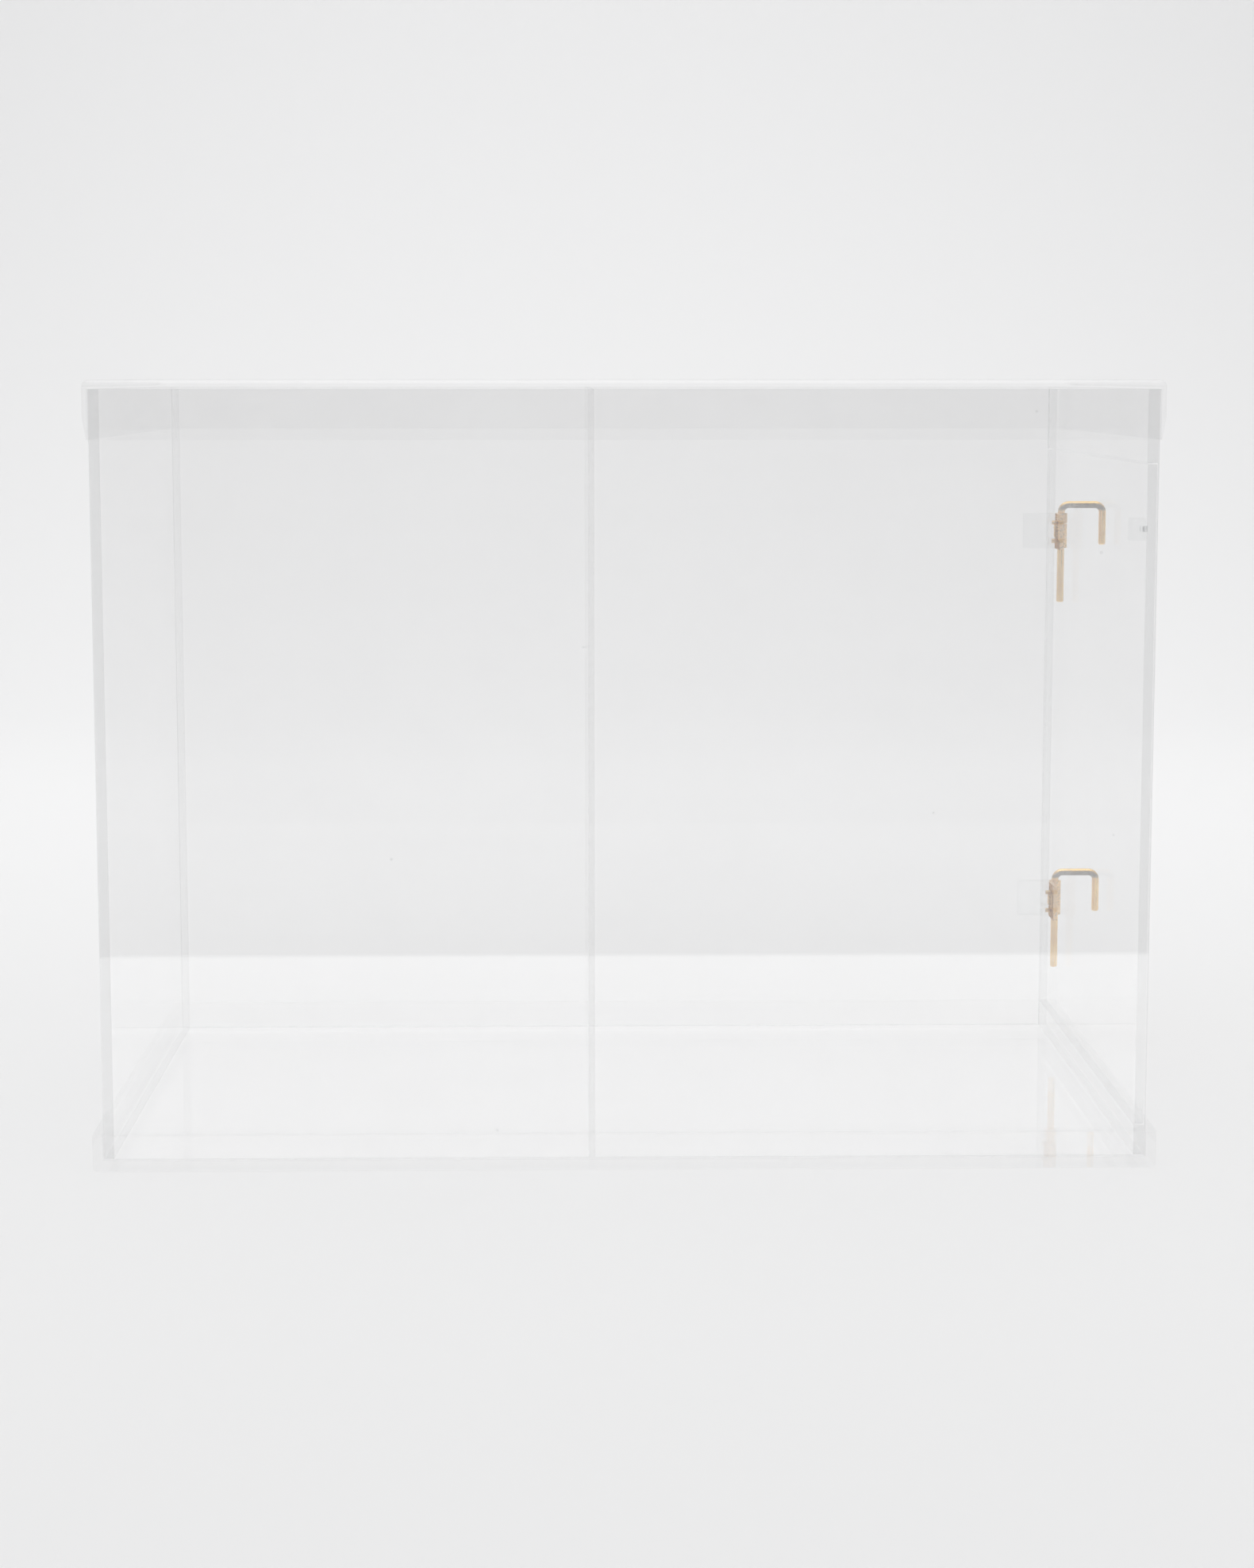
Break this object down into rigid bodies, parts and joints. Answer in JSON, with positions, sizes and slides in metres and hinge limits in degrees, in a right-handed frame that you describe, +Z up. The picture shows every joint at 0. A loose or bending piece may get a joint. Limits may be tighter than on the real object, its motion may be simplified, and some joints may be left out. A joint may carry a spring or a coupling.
{
  "type": "shoe box",
  "caption": "Clear acrylic shoe display box with lift-off tray lid, tray base, centre divider and a side door on drop-pin brass hinges.",
  "frame": {"origin": "middle of the base's underside, under the centre of the panels", "axes": "+Z up, -Y is the front face, +X is the door side"},
  "size_m": [0.3624, 0.2234, 0.2546],
  "materials": {
    "clear_acrylic": "clear cast acrylic, flame-polished edges",
    "polished_brass": "polished brass",
    "screw_brass": "polished slotted screws",
    "magnet": "nickel-plated disc magnet"
  },
  "bodies": {
    "box": {"base_tray": "clear_acrylic", "front_panel": "clear_acrylic", "back_panel": "clear_acrylic", "left_panel": "clear_acrylic", "divider": "clear_acrylic", "door_sill": "clear_acrylic", "door_header": "clear_acrylic", "catch_block": "clear_acrylic", "hinge_block_upper": "clear_acrylic", "hinge_block_lower": "clear_acrylic", "hinge_bushes_upper": "polished_brass", "hinge_bushes_lower": "polished_brass", "catch_magnet": "magnet"},
    "lid": {"lid": "clear_acrylic"},
    "door": {"side_door": "clear_acrylic", "door_magnet": "magnet", "hinge_leaf_upper": "polished_brass", "hinge_leaf_lower": "polished_brass", "leaf_screws_upper": "screw_brass", "leaf_screws_lower": "screw_brass"},
    "upper_pin": {"hinge_pin_upper": "polished_brass"},
    "lower_pin": {"hinge_pin_lower": "polished_brass"}
  },
  "joints": [
    {"name": "lid_lift", "type": "slide", "parent": "box", "child": "lid", "axis": [0, 0, 1], "range_m": [0, 0.1]},
    {"name": "door_swing", "type": "hinge", "parent": "box", "child": "door", "pos_m": [0.1723, 0.1102, 0.12], "axis": [0, 0, 1], "range_deg": [0, 110]},
    {"name": "upper_pin_lift", "type": "slide", "parent": "door", "child": "upper_pin", "axis": [0, 0, 1], "range_m": [0, 0.026]},
    {"name": "lower_pin_lift", "type": "slide", "parent": "door", "child": "lower_pin", "axis": [0, 0, 1], "range_m": [0, 0.034]}
  ]
}
